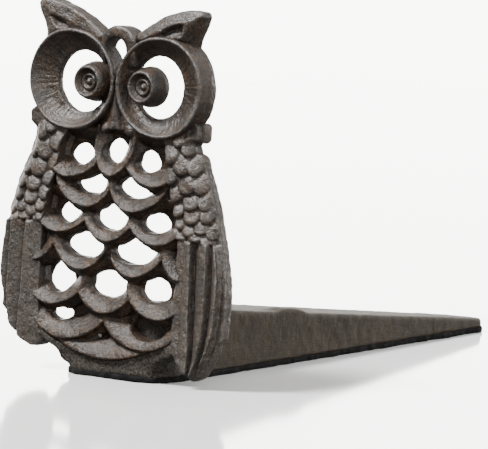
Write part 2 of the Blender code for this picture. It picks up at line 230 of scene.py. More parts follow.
def surface_net(values):
    """Vertices in grid units and quads of the surface where the field is zero."""
    shape = values.shape
    cells = tuple(n - 1 for n in shape)
    total = np.zeros((3, *cells), dtype=np.float32)
    count = np.zeros(cells, dtype=np.float32)
    crossings = []
    for axis in range(3):
        other = [n for n in range(3) if n != axis]
        low = [slice(None)] * 3
        high = [slice(None)] * 3
        low[axis] = slice(0, -1)
        high[axis] = slice(1, None)
        a = values[tuple(low)]
        b = values[tuple(high)]
        cross = (a < 0) != (b < 0)
        share = np.where(cross, a / np.where(cross, a - b, 1.0), 0.0).astype(np.float32)
        crossings.append((cross, a < 0))
        for du in (0, 1):
            for dv in (0, 1):
                part = [slice(None)] * 3
                part[other[0]] = slice(du, du + cells[other[0]])
                part[other[1]] = slice(dv, dv + cells[other[1]])
                hit = cross[tuple(part)].astype(np.float32)
                count += hit
                total[axis] += share[tuple(part)]
                total[other[0]] += hit * du
                total[other[1]] += hit * dv
    active = count > 0
    number = np.full(cells, -1, dtype=np.int64)
    number[active] = np.arange(int(active.sum()))
    where = np.argwhere(active).astype(np.float32)
    verts = where + (total[:, active] / count[active]).T
    quads = []
    for axis in range(3):
        other = [n for n in range(3) if n != axis]
        cross, inside = crossings[axis]
        part = [slice(None)] * 3
        part[other[0]] = slice(1, -1)
        part[other[1]] = slice(1, -1)
        hit = np.argwhere(cross[tuple(part)])
        flip = inside[tuple(part)][tuple(hit.T)]
        corner = []
        for du, dv in ((0, 0), (1, 0), (1, 1), (0, 1)):
            cell = hit.copy()
            cell[:, other[0]] += du
            cell[:, other[1]] += dv
            corner.append(number[tuple(cell.T)])
        quad = np.stack(corner, axis=1)
        if axis == 1:
            flip = ~flip
        quad[~flip] = quad[~flip][:, ::-1]
        quads.append(quad)
    return verts, np.concatenate(quads)


def relief_of(verts, quads, rounds):
    """How far each vertex stands out of its smoothed surroundings, in mm."""
    edges = np.concatenate([quads[:, [0, 1]], quads[:, [1, 2]], quads[:, [2, 3]],
                            quads[:, [3, 0]]])
    count = len(verts)
    near = np.bincount(edges[:, 0], minlength=count) + np.bincount(edges[:, 1],
                                                                   minlength=count)
    near = np.maximum(near, 1)
    smooth = verts.astype(np.float64)
    for _ in range(rounds):
        mean = np.empty_like(smooth)
        for axis in range(3):
            column = smooth[:, axis]
            mean[:, axis] = (np.bincount(edges[:, 0], column[edges[:, 1]], count)
                             + np.bincount(edges[:, 1], column[edges[:, 0]], count)) / near
        smooth = 0.3 * smooth + 0.7 * mean
    one = verts[quads[:, 2]] - verts[quads[:, 0]]
    two = verts[quads[:, 3]] - verts[quads[:, 1]]
    face = np.cross(one, two)
    normal = np.zeros((count, 3))
    for axis in range(3):
        for corner in range(4):
            normal[:, axis] += np.bincount(quads[:, corner], face[:, axis], count)
    normal /= np.maximum(np.linalg.norm(normal, axis=1, keepdims=True), 1e-9)
    return ((verts - smooth) * normal).sum(axis=1)


def cast(name, low, high, step, field, material, nodes, tilt=0.0):
    """A casting meshed from field(x, depth, z), which is negative inside."""
    xs, ds, zs = grid(low, high, step)
    values = field(xs[:, None, None], ds[None, :, None], zs[None, None, :])
    values = np.broadcast_to(values, (len(xs), len(ds), len(zs))).astype(np.float32)
    verts, quads = surface_net(values)
    verts = verts * step + np.array([xs[0], ds[0], zs[0]])
    relief = relief_of(verts, quads, RELIEF_ROUNDS)
    x, z = verts[:, 0].copy(), verts[:, 2] - TILT_Z
    verts[:, 0] = x * math.cos(tilt) + z * math.sin(tilt)
    verts[:, 2] = z * math.cos(tilt) - x * math.sin(tilt) + TILT_Z
    verts[:, 1] += FRONT
    data = bpy.data.meshes.new(name)
    data.vertices.add(len(verts))
    data.vertices.foreach_set("co", (verts * MM).ravel())
    data.loops.add(quads.size)
    data.loops.foreach_set("vertex_index", quads.ravel().astype(np.int32))
    data.polygons.add(len(quads))
    data.polygons.foreach_set("loop_start", np.arange(0, quads.size, 4, dtype=np.int32))
    data.update(calc_edges=True)
    data.validate()
    data.shade_smooth()
    layer = data.attributes.new("relief", "FLOAT", "POINT")
    layer.data.foreach_set("value", relief.astype(np.float32))
    data.materials.append(material)
    made = bpy.data.objects.new(name, data)
    bpy.context.scene.collection.objects.link(made)
    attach(made, "root")
    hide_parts(*nodes)
    print(name, len(verts), "vertices,", 2 * len(quads), "triangles")
    return made


def cast_figure(node, low, high, step, field, material):
    """A piece of the owl, which leans with it."""
    cast(node + "_cast", low, high, step, field, material, [node], TILT)


def roughen(values, step, seed, coarse=0.10, fine=0.05):
    """Sand-cast unevenness."""
    return (values + coarse * noise(values.shape, step, COARSE_LUMP, seed)
            + fine * noise(values.shape, step, FINE_LUMP, seed + 1))


# ---------------------------------------------------------------- eyes

def eye_radius(x, z):
    """Distance from the right eye's centre, as the rings are squashed."""
    return np.sqrt((x - RING_X) ** 2 + ((z - RING_Z) / RING_SQUASH) ** 2)


def striae(angle, seed):
    """Fine radial tool marks, as a function of the angle only."""
    rng = np.random.default_rng(seed)
    total = 0.0 * angle
    for waves in range(23, 95, 6):
        total = total + np.sin(waves * angle + rng.uniform(0.0, 2.0 * math.pi)) / 12 ** 0.5
    return total


def ring_field(seed, step, hole_x, hole_z, swell):
    """Funnel with a thin rolled rim. Its opening lies off centre, towards the beak."""
    rim_r = RING_R - 0.5
    lip_r = rim_r - RIM_WIDTH
    slope_front = RIM_FRONT + 0.45

    def field(x, d, z):
        r = eye_radius(x, z) - swell * smooth_step(-3.0, 9.0, x - RING_X)
        marks = striae(np.arctan2(z - RING_Z, x - RING_X), seed)
        hole = np.sqrt((x - hole_x) ** 2 + ((z - hole_z) / 1.02) ** 2) - RING_HOLE_R
        flare = 0.75 * smooth_step(0.8, 4.2, d) * smooth_step(-2.0, 9.0, x - RING_X)
        outer = r - (RING_R + 0.12 + flare)
        crest = RIM_FRONT + 0.45 * ((r - rim_r) / RIM_WIDTH) ** 2
        share = np.clip((lip_r - r) / np.maximum(lip_r - r + hole, 0.5), 0.0, 1.0)
        slope = slope_front + (THROAT - slope_front) * share + 0.75 * np.sin(share * math.pi)
        slope = slope + 0.06 * marks * smooth_step(0.0, 0.25, share)
        front = np.where(r > lip_r, crest, slope) + 0.0 * d
        value = smooth_max(outer, front - d, 0.35)
        value = smooth_max(value, d - BACK, 0.6)
        value = smooth_max(value, -hole + 0.0 * d, 0.7)
        return roughen(value, step, seed, 0.09, 0.06)

    return field


def pupil_field(seed, step):
    """Tapered button: sharp rim, a groove, a second ring and a small boss."""
    front_r = PUPIL_R - PUPIL_TAPER

    def field(x, d, z):
        r = np.sqrt((x - PUPIL_X) ** 2 + (z - PUPIL_Z) ** 2)
        rim = 0.15 + 1.7 * np.clip(np.abs(r - (front_r - 0.35)) - 0.22, 0.0, 1.2)
        ring = 1.05 + 1.3 * np.clip(np.abs(r - PUPIL_RING_R) - 0.20, 0.0, 1.0)
        boss = 0.85 + 0.85 * r ** 2
        front = np.minimum(np.minimum(rim, ring), np.minimum(boss, 1.75))
        swell = np.clip(1.6 * d / PUPIL_BACK, 0.0, 1.25) ** 0.8
        side = r - (front_r + (PUPIL_R - front_r) * swell)
        value = smooth_max(side, front - d, 0.25)
        value = smooth_max(value, d - (PUPIL_BACK + 0.7), 0.6)
        return roughen(value, step, seed, 0.05, 0.035)

    return field


def mirrored_field(field, side):
    """The right side's field, or its mirror image for the left side."""
    if side > 0:
        return field
    return lambda x, d, z: field(-x[::-1], d, z)[::-1]


def build_eyes(iron):
    """Two eye rings, each with its pupil. The openings differ a little, as cast."""
    step = HEAD_STEP
    for number, (side, label) in enumerate(SIDES):
        reach = sorted((side * (RING_X - RING_R - 1.2), side * (RING_X + RING_R + 1.2)))
        low = (reach[0], 0.0, RING_Z - RING_R)
        high = (reach[1], BACK, RING_Z + RING_R)
        hole_x = RING_X - 1.5 - 0.7 * side
        hole_z = RING_Z - 0.25 + 0.15 * side
        swell = 0.3 if side > 0 else 0.6
        field = ring_field(11 + 20 * number, step, hole_x, hole_z, swell)
        field = mirrored_field(field, side)
        cast_figure("eye_ring_" + label, low, high, step, field, iron)
        reach = sorted((side * (PUPIL_X - PUPIL_R - 0.5), side * (PUPIL_X + PUPIL_R + 0.5)))
        low = (reach[0], -0.2, PUPIL_Z - PUPIL_R - 0.5)
        high = (reach[1], BACK, PUPIL_Z + PUPIL_R + 0.5)
        field = mirrored_field(pupil_field(15 + 20 * number, PUPIL_STEP), side)
        cast_figure("pupil_" + label, low, high, PUPIL_STEP, field, iron)


# ---------------------------------------------------------------- ears, loop and beak

def arc(start_degrees, end_degrees, radius, steps=10):
    """Arc round the right eye's centre, squashed in height as the rings are."""
    points = []
    for step in range(steps + 1):
        angle = math.radians(start_degrees + (end_degrees - start_degrees) * step / steps)
        points.append((RING_X + radius * math.cos(angle),
                       RING_Z + radius * RING_SQUASH * math.sin(angle)))
    return points


EAR_CREST = {
    "right": [(3.9, 85.6), (6.8, 87.7), (11.3, 90.5), (16.5, 92.6), (21.6, 93.4), (24.3, 93.1),
              (25.1, 91.9)],
    "left": [(3.9, 85.0), (6.8, 86.9), (11.3, 89.6), (16.5, 91.8), (21.6, 93.1), (25.2, 92.9),
             (26.2, 91.8)],
}
EAR_PIT = {
    "right": [(12.4, 86.3), (13.4, 87.5), (15.4, 88.8), (18.9, 89.8), (19.3, 88.6), (18.8, 87.0),
              (15.6, 86.4)],
    "left": [(22.0, 89.0), (20.2, 88.9), (17.4, 88.0), (15.8, 86.7), (18.8, 86.2), (20.4, 87.0)],
}
EAR_FACET = ((18.3, 85.8), (25.6, 93.4))       # crease from which the outer face falls back
EAR_SLOPES = {"right": (0.85, 0.50), "left": (0.12, 0.20)}     # of the outer face, of the crest
EAR_FRONT = 1.15


def ear_outline(label):
    """Crest, outer flank and the seat under the eye ring."""
    tip_x = EAR_CREST[label][-1][0]
    flank = [(tip_x - 0.9, 89.6), (tip_x - 2.1, 87.2), (tip_x - 2.8, 84.6), (23.6, 82.0)]
    return curve(EAR_CREST[label], 4) + flank + arc(36, 128, RING_R - OVERLAP)


def ear_field(seed, step, label):
    """Swept tuft: broad crest over a small pit, with an outer face falling back."""
    outline = ear_outline(label)
    hollow = curve(EAR_PIT[label], 4, closed=True)
    fall, bevel = EAR_SLOPES[label]
    (ax, az), (bx, bz) = EAR_FACET
    length = math.hypot(bx - ax, bz - az)

    def field(x, d, z):
        edge = outline_distance(x, z, outline)
        pit = outline_distance(x, z, hollow)
        beyond = ((x - ax) * (bz - az) - (z - az) * (bx - ax)) / length
        front = EAR_FRONT + bevel * np.clip(3.0 + edge, 0.0, 3.0)
        front = front + 0.25 * np.clip(-edge - 3.2, 0.0, 3.0)
        front = front + fall * np.clip(beyond, 0.0, 4.0)
        front = front + 1.25 * smooth_step(0.35, -0.9, pit)
        value = smooth_max(edge, front - d, 0.6)
        value = smooth_max(value, d - BACK, 0.7)
        return roughen(value, step, seed, 0.11, 0.06)

    return field


LOOP_HOLE_Z = 81.9
LOOP_HOLE_R = 3.1
LOOP_R = 6.2
LOOP_HALF_WIDTH = 5.4
LOOP_FOOT = 78.0


def loop_field(seed, step):
    """Arch over the hanging hole, its feet running down between the ears."""

    def field(x, d, z):
        r = np.sqrt(x ** 2 + (z - LOOP_HOLE_Z) ** 2)
        top = r - LOOP_R
        sides = np.abs(x) - LOOP_HALF_WIDTH
        up = np.maximum(z - LOOP_HOLE_Z, 0.0)
        hole = LOOP_HOLE_R - np.sqrt((x + 0.8) ** 2 + up ** 2)
        front = 0.9 + 0.10 * np.clip(r - 5.0, 0.0, 3.0) ** 2 + 0.35 * np.clip(4.0 - r, 0.0, 2.0)
        front = front + 0.35 * np.clip(81.0 - z, 0.0, 4.0)
        value = smooth_max(smooth_max(top, sides, 0.8), front - d, 0.8)
        value = smooth_max(value, d - BACK, 0.7)
        value = smooth_max(value, hole, 0.6)
        value = smooth_max(value, (LOOP_FOOT - z) + 0.0 * x, 0.5)
        return roughen(value, step, seed, 0.10, 0.05)

    return field


BEAK_TOP = 76.0
BEAK_LENGTH = 14.0
NUB_Z = 62.3
NUB_PLACES = (-3.2, 4.9)
NUB_R = 1.5


def beak_field(seed, step):
    """Ridge that hangs from the meeting rims and spreads into two nubs."""
    side = arc(188, 243, RING_R - OVERLAP, 10)
    foot = [(6.9, 61.9), (5.6, 60.8), (3.4, 60.9), (1.7, 62.1), (0.0, 62.4)]
    right = side + foot
    outline = right + mirrored(right[:-1])

    def field(x, d, z):
        edge = outline_distance(x, z, outline)
        spread = np.clip((BEAK_TOP - z) / BEAK_LENGTH, 0.0, 1.0)
        groove = np.exp(-((x - 2.0 * spread) / 0.7) ** 2)
        ridge = 1.0 + 0.45 * np.abs(x + 0.5 * spread) + 0.9 * groove
        nubs = sum(np.exp(-((x - place) / NUB_R) ** 2 - ((z - NUB_Z) / NUB_R) ** 2)
                   for place in NUB_PLACES)
        front = ridge + 0.6 * (1.0 - spread) - nubs
        value = smooth_max(edge, front - d, 0.6)
        value = smooth_max(value, d - BACK, 0.6)
        return roughen(value, step, seed, 0.10, 0.05)

    return field


def build_head(iron):
    """Ears, hanging loop and beak."""
    step = HEAD_STEP
    for number, (side, label) in enumerate(SIDES):
        reach = sorted((side * 3.0, side * 26.2))
        field = mirrored_field(ear_field(51 + 20 * number, step, label), side)
        cast_figure("ear_" + label, (reach[0], 0.8, 80.0), (reach[1], BACK, 94.0), step, field,
                    iron)
    cast_figure("hanging_loop", (-5.8, 0.4, 77.5), (5.8, BACK, 88.8), step,
                loop_field(91, step), iron)
    cast_figure("beak", (-7.6, 0.0, 60.0), (7.6, BACK, 77.5), step, beak_field(95, step), iron)


# ---------------------------------------------------------------- breast

# One scale: centre x, tip z, half width to its left and right, height of its sides, width of
# the rolled lip, how steeply it falls back, and its opening if it has one: centre x, bottom,
# widest level, top, half width. Lower rows come first and upper rows lie over them.
SCALES = [
    (0.0, 4.6, 20.0, 20.0, 9.5, 4.6, 0.50, None),
    (-12.6, 8.2, 12.0, 13.5, 8.5, 4.6, 0.50, (-15.1, 12.7, 14.4, 16.7, 3.0)),
    (12.4, 8.0, 13.5, 12.0, 8.5, 4.6, 0.50, (13.0, 10.9, 14.2, 18.4, 5.6)),
    (-0.3, 15.9, 9.6, 9.6, 8.5, 3.6, 0.80, (-0.9, 20.1, 23.5, 26.8, 5.7)),
    (-17.2, 16.4, 9.0, 10.6, 7.5, 3.4, 0.80, (-16.1, 19.6, 23.0, 27.4, 3.9)),
    (16.6, 16.2, 10.6, 9.0, 7.5, 3.4, 0.80, (13.6, 20.6, 23.5, 27.0, 4.2)),
    (-8.1, 26.0, 10.0, 8.2, 8.5, 2.8, 0.95, (-8.3, 29.4, 32.4, 35.7, 6.7)),
    (7.9, 25.9, 8.2, 10.0, 8.5, 2.8, 0.95, (6.6, 29.2, 32.2, 35.9, 6.4)),
    (-22.4, 27.0, 8.0, 6.0, 8.0, 2.4, 0.95, None),
    (22.2, 26.8, 6.0, 8.0, 8.0, 2.4, 0.95, None),
    (-0.4, 33.9, 8.8, 8.8, 9.0, 2.8, 1.0, (-0.6, 36.9, 40.2, 43.4, 5.3)),
    (-16.2, 34.8, 8.0, 9.5, 6.0, 2.6, 1.0, (-14.6, 37.4, 39.7, 42.7, 3.5)),
    (14.9, 34.6, 9.5, 8.0, 6.0, 2.6, 1.0, (12.6, 37.6, 40.0, 42.8, 4.0)),
    (-7.2, 41.9, 11.0, 7.6, 8.0, 2.8, 1.0, (-7.5, 45.5, 48.1, 50.8, 5.1)),
    (6.4, 42.0, 7.6, 11.0, 8.0, 2.8, 1.0, (5.9, 45.5, 48.2, 51.2, 5.2)),
    (-13.8, 48.9, 8.0, 10.5, 7.5, 2.8, 1.0, (-11.6, 52.3, 54.6, 57.8, 3.6)),
    (13.2, 48.8, 10.5, 8.0, 7.5, 2.8, 1.0, (9.2, 52.3, 54.8, 57.8, 3.2)),
    (-0.2, 50.3, 6.3, 6.3, 8.0, 2.4, 1.0, (-0.9, 53.8, 56.8, 59.7, 3.2)),
]


def scale_outline(centre, tip, left, right, height, steps=14):
    """Round below, with sides that run straight up."""
    points = []
    for step in range(2 * steps + 1):
        s = math.sin((step / steps - 1.0) * math.pi / 2)
        half = right if s > 0 else left
        rise = height * (1.0 - (1.0 - min(abs(s), 1.0) ** 1.8) ** (1 / 1.8))
        points.append((centre + half * s, tip + rise))
    return points + [(centre + right, tip + height + 6.0), (centre - left, tip + height + 6.0)]


def opening_outline(centre, bottom, side, top, half_width, steps=10):
    """Round below its widest level, and drawn in towards the top."""
    points = []
    for step in range(2 * steps + 1):
        angle = math.pi * step / (2 * steps)
        points.append((centre - half_width * math.cos(angle),
                       side - (side - bottom) * math.sin(angle)))
    for step in range(1, 2 * steps):
        angle = math.pi * step / (2 * steps)
        points.append((centre + half_width * math.cos(angle) * abs(math.cos(angle)) ** 0.15,
                       side + (top - side) * math.sin(angle) ** 1.25))
    return points


SCALE_FRONT = 0.5              # depth of the scales' lower tips
SCALE_LEAN = 1.7               # how far a scale leans back from its tip to its sides
GROUND_DEPTH = 4.6             # between the scales
LIP_BEVEL = 0.45               # width of the rounded edge
NO_OPENING = -9.0


def breast_relief(x, z):
    """Scales laid like roof tiles: depth of the front, and distance into the openings."""
    front = np.full(np.broadcast(x, z).shape, GROUND_DEPTH, dtype=np.float32)
    solid = np.full(front.shape, NO_OPENING, dtype=np.float32)
    for centre, tip, left, right, height, lip, fall, opening in SCALES:
        inward = -outline_distance(x, z, scale_outline(centre, tip, left, right, height))
        back = SCALE_LEAN * np.clip((z - tip) / height, 0.0, 1.3)
        under = SCALE_FRONT + back + 1.0 + 1.1 * np.maximum(-inward, 0.0)
        front = np.where(inward > -1.6, np.minimum(front, under), front)
        roll = np.clip(inward - LIP_BEVEL, 0.0, lip)
        steep = 1.5 * np.clip(inward - LIP_BEVEL - lip, 0.0, 2.0)
        crest = 0.30 * np.clip(1.0 - inward / LIP_BEVEL, 0.0, 1.0) ** 2
        own = SCALE_FRONT + back + fall * (0.26 * roll + 0.17 * roll ** 2) + steep + crest
        cover = smooth_step(-0.2, 0.3, inward)
        front = front * (1.0 - cover) + own * cover
        solid = np.minimum(solid, -inward - 0.9)
        if opening:
            solid = np.maximum(solid, -outline_distance(x, z, opening_outline(*opening)))
    return np.minimum(front, BACK - 1.1), solid


def breast_outline():
    """From under the eye rings, along the wings, to the hem."""
    neck = arc(-118, -80, RING_R - OVERLAP, 5)
    side = curve([(17.2, 60.2), (18.2, 57.4), (18.9, 54.5), (19.3, 51.5), (20.3, 48.0),
                  (21.9, 42.5), (22.8, 36.5), (23.0, 26.0), (22.8, 16.0), (22.2, 11.0)], 2)
    hem = curve([(20.4, 10.4), (17.6, 8.4), (12.6, 6.6), (8.5, 5.6), (4.5, 4.6),
                 (0.0, 4.1)], 3)
    right = [(4.4, 62.6)] + neck + side + hem
    return [(0.0, 62.4)] + right + mirrored(right[:-1])


def breast_field(seed, step):
    outline = breast_outline()

    def field(x, d, z):
        edge = outline_distance(x, z, outline)
        front, solid = breast_relief(x, z)
        value = smooth_max(solid + 0.0 * d, front - d, 0.6)
        value = smooth_max(value, edge + 0.0 * d, 0.5)
        value = smooth_max(value, d - BACK, 0.6)
        return roughen(value, step, seed, 0.12, 0.08)

    return field


def build_breast(iron):
    cast("breast_cast", (-22.4, 0.0, 3.6), (22.4, BACK, 62.4), BREAST_STEP,
         breast_field(131, BREAST_STEP), iron, ["breast_fretwork"], TILT)


# ---------------------------------------------------------------- wings

# Edges of the wing as (height, x)
WING_INNER = [(60.2, 15.4), (57.4, 16.6), (54.5, 17.2), (51.5, 17.6), (48.0, 18.6),
              (42.5, 20.2), (36.5, 21.2), (26.0, 21.3), (16.0, 21.0), (9.6, 20.4)]
WING_OUTER = [(65.0, 26.3), (62.2, 26.3), (60.2, 25.0), (56.0, 25.8), (50.5, 27.9),
              (45.2, 30.2), (40.0, 31.9), (32.5, 33.5), (24.5, 34.3), (18.5, 34.2),
              (14.4, 33.9)]

# One knob of the shoulder: centre x, z, width, height
KNOBS = [
    (19.9, 61.2, 2.8, 2.2), (22.7, 60.0, 3.3, 3.9), (17.5, 57.6, 4.9, 4.0),
    (21.3, 55.3, 4.8, 4.2), (25.0, 55.6, 3.0, 4.4), (17.9, 52.4, 4.0, 3.6),
    (23.2, 50.6, 4.7, 3.9), (27.0, 51.1, 3.2, 4.2), (19.6, 48.0, 4.2, 2.8),
    (24.6, 46.4, 4.3, 3.0), (28.6, 47.2, 3.0, 4.0), (20.9, 44.2, 3.4, 2.4),
    (25.2, 43.0, 4.3, 2.9), (29.4, 44.0, 2.9, 3.9), (21.9, 41.1, 2.9, 2.2),
    (24.6, 39.6, 3.6, 2.2), (28.1, 40.5, 3.4, 2.4), (31.0, 39.9, 2.6, 3.3),
    (22.3, 38.1, 3.4, 2.0), (26.6, 38.3, 4.2, 2.0), (30.0, 37.6, 3.0, 2.0),
]
KNOB_RISE = 1.15

# How far each wing's outer edge lies outside the common one, by height
WING_EASE = {
    "right": [(66.0, -0.9), (60.5, -0.9), (57.0, -0.3), (52.0, 0.0), (47.0, -0.4), (42.0, -0.6),
              (36.0, -0.5), (28.0, 0.0), (14.0, 0.0)],
    "left": [(66.0, 0.7), (60.0, 0.6), (54.0, 0.45), (46.0, 0.7), (41.0, 0.5), (36.0, 0.0),
             (30.0, -0.35), (24.0, -0.6), (18.5, -1.4), (14.4, -1.5)],
}
WING_TIP = {
    "right": [(32.6, 13.4), (31.8, 10.4), (29.9, 6.6), (28.6, 4.7), (26.9, 4.2), (24.9, 5.3),
              (22.6, 8.2)],
    "left": [(31.0, 12.4), (28.6, 9.0), (25.5, 6.7), (22.8, 5.4), (20.6, 5.6), (19.4, 7.0),
             (19.0, 8.8)],
}
WING_FLARE = {"right": 1.6, "left": 0.3}       # how much wider the back is than the front

# Edges of the long feathers as (height, x), and the vein on the inner one
FEATHER_START = [(2.0, 22.0), (9.0, 20.0), (16.0, 20.6), (38.0, 21.4)]
FEATHER_FIRST = [(2.0, 26.4), (9.0, 26.9), (16.0, 26.6), (26.0, 26.3), (38.0, 25.9)]
FEATHER_SECOND = [(2.0, 27.0), (9.0, 29.6), (16.0, 30.8), (26.0, 31.1), (38.0, 30.6)]
FEATHER_THIRD = [(2.0, 29.0), (9.0, 31.5), (14.0, 33.2), (26.0, 34.0), (38.0, 33.4)]
FEATHER_VEIN = [(2.0, 25.0), (9.0, 24.2), (16.0, 23.9), (26.0, 23.9), (38.0, 23.8)]
FEATHER_GROUND = 3.4

# The outermost feather first: inner edge, outer edge, and depth at each
FEATHERS = [
    (FEATHER_SECOND, FEATHER_THIRD, 3.4, 1.5),
    (FEATHER_FIRST, FEATHER_SECOND, 3.2, 0.9),
    (FEATHER_START, FEATHER_FIRST, 1.9, 0.7),
]
FEATHER_TOP = (36.6, 37.3)     # heights between which the feathers give way to the knobs
COLLAR_DEPTH = 2.2             # of the block beside the eye ring


def wing_edge(label):
    """Outer edge of one wing, as (height, x)."""
    ease = WING_EASE[label]
    return [(z, x + float(along(z, ease))) for z, x in WING_OUTER]


def wing_outline(label):
    """From under the eye ring, down the outer edge, round the tip and up the inner edge."""
    top = arc(-84, -34, RING_R - OVERLAP, 8)
    outer = [(x, z) for z, x in curve(wing_edge(label), 3)]
    tip = curve(WING_TIP[label], 3)
    inner = [(x, z) for z, x in reversed(curve(WING_INNER, 3))]
    return top + outer + tip + inner


def feather_front(x, z):
    """Three long feathers, each standing proud of the next one outwards."""
    start = along(z, FEATHER_START)
    front = np.full(np.broadcast(x, z).shape, FEATHER_GROUND, dtype=np.float32)
    for inner_edge, outer_edge, deep, crest in FEATHERS:
        inner = along(z, inner_edge)
        outer = along(z, outer_edge)
        share = np.clip((x - inner) / (outer - inner), 0.0, 1.0)
        own = deep + (crest - deep) * np.sin(share * math.pi / 2) ** 0.9
        own = own + 0.6 * np.clip((0.35 - (x - start)) / 0.8, 0.0, 1.0) ** 2
        cover = smooth_step(0.25, -0.15, x - outer)
        front = front * (1.0 - cover) + own * cover
    vein = along(z, FEATHER_VEIN)
    return front + 0.35 * np.exp(-((x - vein) / 0.5) ** 2)


def knob_front(x, z, outer_gap):
    """Overlapping knobs on a shoulder that rounds away outwards."""
    base = 2.1 + 1.3 * smooth_step(3.0, 0.0, outer_gap)
    front = base + 0.0 * x
    for centre, level, width, height in KNOBS:
        p = (x - centre) / (width / 2 + 0.30)
        q = (z - level) / (height / 2 + 0.60)
        r = p * p + q * q
        dome = np.sqrt(np.clip(1.0 - r ** 2.2, 0.0, 1.0)) * (0.78 - 0.55 * q)
        front = np.minimum(front, base - KNOB_RISE * dome)
    return front


def wing_field(seed, step, label):
    """Knobbly shoulder over long feathers, with a root that runs in behind the breast."""
    outline = wing_outline(label)
    flare = WING_FLARE[label]

    def field(x, d, z):
        edge = outline_distance(x, z, outline)
        outer_gap = along(z, wing_edge(label)) - x
        knobs = knob_front(x, z, outer_gap)
        feathers = feather_front(x, z)
        part = smooth_step(*FEATHER_TOP, z + 0.05 * (x - 26.0))
        front = feathers * (1.0 - part) + knobs * part
        collar = smooth_step(60.6, 62.2, z) * smooth_step(22.5, 24.0, x)
        front = front * (1.0 - collar) + COLLAR_DEPTH * collar
        spread = flare * smooth_step(2.4, 3.6, d) * smooth_step(24.0, 27.0, x)
        root = smooth_step(BACK - 1.9, BACK - 1.0, d) * smooth_step(24.0, 22.5, x)
        spread = spread + 1.2 * root * smooth_step(11.0, 14.0, z)
        value = smooth_max(edge - spread, front - d, 0.35)
        value = smooth_max(value, d - BACK, 0.6)
        return roughen(value, step, seed, 0.13, 0.07)

    return field


def build_wings(iron):
    step = WING_STEP
    for number, (side, label) in enumerate(SIDES):
        reach = sorted((side * 14.0, side * 36.6))
        field = mirrored_field(wing_field(171 + 20 * number, step, label), side)
        cast_figure("wing_" + label, (reach[0], 0.0, 3.0), (reach[1], BACK, 66.5), step, field,
                    iron)


# ---------------------------------------------------------------- wedge and pad

NOSE_CORNER = 8.4
TAIL_CORNER = 5.5
TAIL_HALF_WIDTH = 6.7
TAIL_HEIGHT = 3.6
WALL = 4.0
CAVITY_START = 9.5
CAVITY_END = 122.0
WEDGE_LUMP = 66.0              # depth of the middle of the low lump on the top edge
BOWL_TOP = 12.0
SKIRT_HALF_WIDTH = 21.0
SKIRT_SHIFT = -1.6             # the tilted owl's hem lies this far off the wedge's middle

# Half width of the bowl under the owl's hem, as (height, half width)
NOSE_HALF = [(0.0, 13.4), (1.5, 13.6), (2.4, 14.1), (3.6, 15.6), (5.2, 16.6), (6.1, 17.6),
             (7.4, 19.9), (8.8, 21.6), (11.0, 22.4), (13.0, 22.6)]


def wedge_plan(x, d, inset=0.0, end=None):
    """Signed distance to the wedge's plan, in X and depth."""
    nose_half = WEDGE_HIGH.x
    tail = WEDGE_HIGH.y if end is None else end
    length = WEDGE_HIGH.y - WEDGE_LOW.y
    share = np.clip((d - WEDGE_LOW.y) / length, 0.0, 1.0)
    half = nose_half + (TAIL_HALF_WIDTH - nose_half) * share - inset
    sides = np.abs(x) - half
    nose = (WEDGE_LOW.y + inset) - d
    ends = d - (tail - inset)
    front = corner_max(sides, nose, NOSE_CORNER - inset)
    return corner_max(front, ends + 0.0 * x, TAIL_CORNER)


def corner_max(a, b, radius):
    """Meeting of two edges with a round corner."""
    u = np.maximum(a + radius, 0.0)
    v = np.maximum(b + radius, 0.0)
    return np.minimum(np.maximum(a, b), -radius) + np.sqrt(u * u + v * v)


def wedge_top(d):
    """Height of the sloping top."""
    length = WEDGE_HIGH.y - WEDGE_LOW.y
    share = (d - WEDGE_LOW.y) / length
    return WEDGE_HIGH.z + (TAIL_HEIGHT - WEDGE_HIGH.z) * share


def wedge_field(seed, step):
    """Hollow wedge, with a bowl at its nose that the owl's skirt stands in."""
    base = PAD_HIGH.z - 0.15

    def field(x, d, z):
        top = wedge_top(d)
        plan = wedge_plan(x, d)
        draft = 0.035 * np.clip(z - base, 0.0, 30.0)
        lump = np.exp(-((d - WEDGE_LUMP) / 6.0) ** 4) * smooth_step(4.0, 9.0, x)
        value = smooth_max(plan + draft, z - top - lump, 1.0)
        value = smooth_max(value, base - z, 0.5)
        value = roughen(value, step, seed, 0.08, 0.05)
        grooves = noise((x.size, 1, 1), step, 1.9, seed + 6)
        grooves = grooves + noise((x.size, 1, 1), step, 4.4, seed + 7)
        bowl = np.abs(x) - along(z, NOSE_HALF)
        bowl = smooth_max(bowl, 1.5 + 1.1 * smooth_step(8.0, 1.0, z) - d, 2.0)
        bowl = bowl + 0.30 * grooves * smooth_step(9.0, 4.0, z)
        bowl = smooth_max(bowl, d - (BACK + 0.6), 1.0)
        bowl = smooth_max(bowl, np.maximum(z - BOWL_TOP, base - z) + 0.0 * x, 0.5)
        value = smooth_min(value, roughen(bowl, step, seed + 5, 0.30, 0.10), 0.8)
        cavity = wedge_plan(x, d, WALL, CAVITY_END)
        cavity = np.maximum(cavity, z - (top - WALL))
        cavity = np.maximum(cavity, CAVITY_START - d)
        value = np.maximum(value, -cavity)
        aside = np.clip(np.abs(x - SKIRT_SHIFT) / SKIRT_HALF_WIDTH, 0.0, 1.0)
        hem = 5.0 + 6.4 * aside ** 2
        rebate = np.maximum(d - (BACK + 0.1), hem - z)
        return np.maximum(value, -rebate)

    return field


def pad_field(seed, step):
    """Flat pad with a ragged edge."""
    thick = PAD_HIGH.z - PAD_LOW.z

    def field(x, d, z):
        plan = wedge_plan(x, d, -0.15)
        ragged = (0.45 * noise(plan.shape, step, 4.5, seed)
                  + 0.25 * noise(plan.shape, step, 1.6, seed + 1))
        return np.maximum(plan + ragged, np.abs(z - thick / 2) - thick / 2)

    return field


